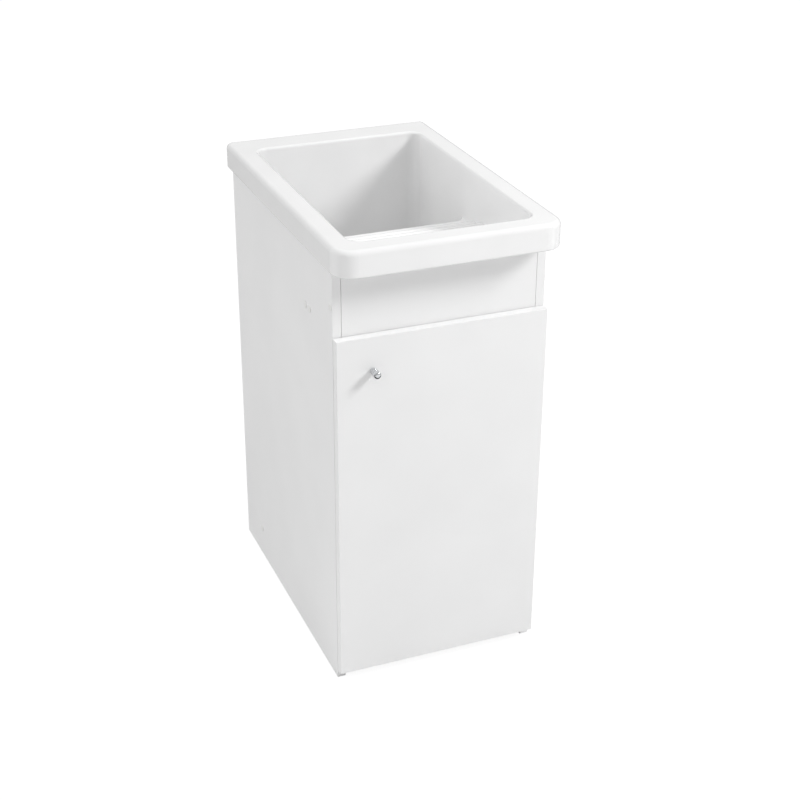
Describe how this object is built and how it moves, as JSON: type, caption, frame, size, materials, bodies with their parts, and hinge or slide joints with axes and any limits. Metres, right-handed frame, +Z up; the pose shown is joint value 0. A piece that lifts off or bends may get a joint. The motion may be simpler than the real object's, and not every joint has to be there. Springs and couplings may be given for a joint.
{
  "type": "laundry sink cabinet",
  "caption": "Deep white fireclay laundry sink with a sloping ribbed washboard on a narrow white cabinet, with one overlay door, a small round knob, a drain plug and a bottle trap.",
  "frame": {"origin": "on the floor, midway across the sink's overall width and depth", "axes": "+X to the right seen from the front, +Y towards the wall behind, +Z up"},
  "size_m": [0.39, 0.6, 0.82],
  "materials": {
    "glazed_fireclay": "gloss",
    "white_panel": "melamine-faced board, satin white",
    "white_plastic": "moulded polypropylene",
    "soft_clear": "soft pad",
    "zinc_steel": "zinc plated",
    "nickel_steel": "nickel plated",
    "stainless": "brushed",
    "chrome": "mirror",
    "rubber": "matt",
    "beech": "plain beech"
  },
  "bodies": {
    "carcass": {"sink_basin": "glazed_fireclay", "side_panel_left": "white_panel", "side_panel_right": "white_panel", "front_fascia": "white_panel", "cross_rail": "white_panel", "bottom_panel": "white_panel", "back_rail_upper": "white_panel", "back_rail_lower": "white_panel", "cover_caps_left": "white_plastic", "cover_caps_right": "white_plastic", "panel_screws_left": "zinc_steel", "panel_screws_right": "zinc_steel", "dowels_left": "beech", "dowels_right": "beech", "waste_gasket_upper": "rubber", "waste_gasket_lower": "rubber", "waste_flange": "stainless", "waste_body": "white_plastic", "waste_screw": "stainless", "tube_washer": "rubber", "trap_tube": "white_plastic", "waste_nut": "white_plastic", "trap_body": "white_plastic", "tube_nut": "white_plastic", "trap_cup": "white_plastic", "cup_seal": "rubber", "tube_seal": "rubber", "outlet_seal": "rubber", "outlet_pipe": "white_plastic", "outlet_nut": "white_plastic", "lower_hinge_arm": "nickel_steel", "lower_hinge_plate": "nickel_steel", "lower_plate_screws": "zinc_steel", "lower_arm_screw": "zinc_steel", "upper_hinge_arm": "nickel_steel", "upper_hinge_plate": "nickel_steel", "upper_plate_screws": "zinc_steel", "upper_arm_screw": "zinc_steel"},
    "outer_links": {"lower_outer_link": "nickel_steel", "upper_outer_link": "nickel_steel"},
    "inner_links": {"lower_inner_link": "nickel_steel", "upper_inner_link": "nickel_steel"},
    "door": {"door_panel": "white_panel", "door_knob": "chrome", "knob_screw": "zinc_steel", "door_bumpers": "soft_clear", "lower_hinge_cup": "nickel_steel", "lower_cup_screws": "zinc_steel", "upper_hinge_cup": "nickel_steel", "upper_cup_screws": "zinc_steel"},
    "plug": {"drain_plug": "stainless", "plug_seal": "rubber"}
  },
  "joints": [
    {"name": "door_swing", "type": "hinge", "parent": "outer_links", "child": "door", "pos_m": [0.1765, -0.2524, 0.337], "axis": [0, 0, 1], "range_deg": [0, 133.95]},
    {"name": "link_swing", "type": "hinge", "parent": "carcass", "child": "outer_links", "pos_m": [0.1597, -0.2355, 0.337], "axis": [0, 0, 1], "range_deg": [-39, 0]},
    {"name": "inner_swing", "type": "hinge", "parent": "carcass", "child": "inner_links", "pos_m": [0.142, -0.2395, 0.337], "axis": [0, 0, 1], "range_deg": [-37.1, 0]},
    {"name": "plug_lift", "type": "slide", "parent": "carcass", "child": "plug", "axis": [0, 0, 1], "range_m": [0, 0.08]}
  ],
  "couplings": [
    {"joint": "link_swing", "follows": "door_swing", "ratio": -0.2908},
    {"joint": "inner_swing", "follows": "door_swing", "ratio": -0.2766}
  ]
}
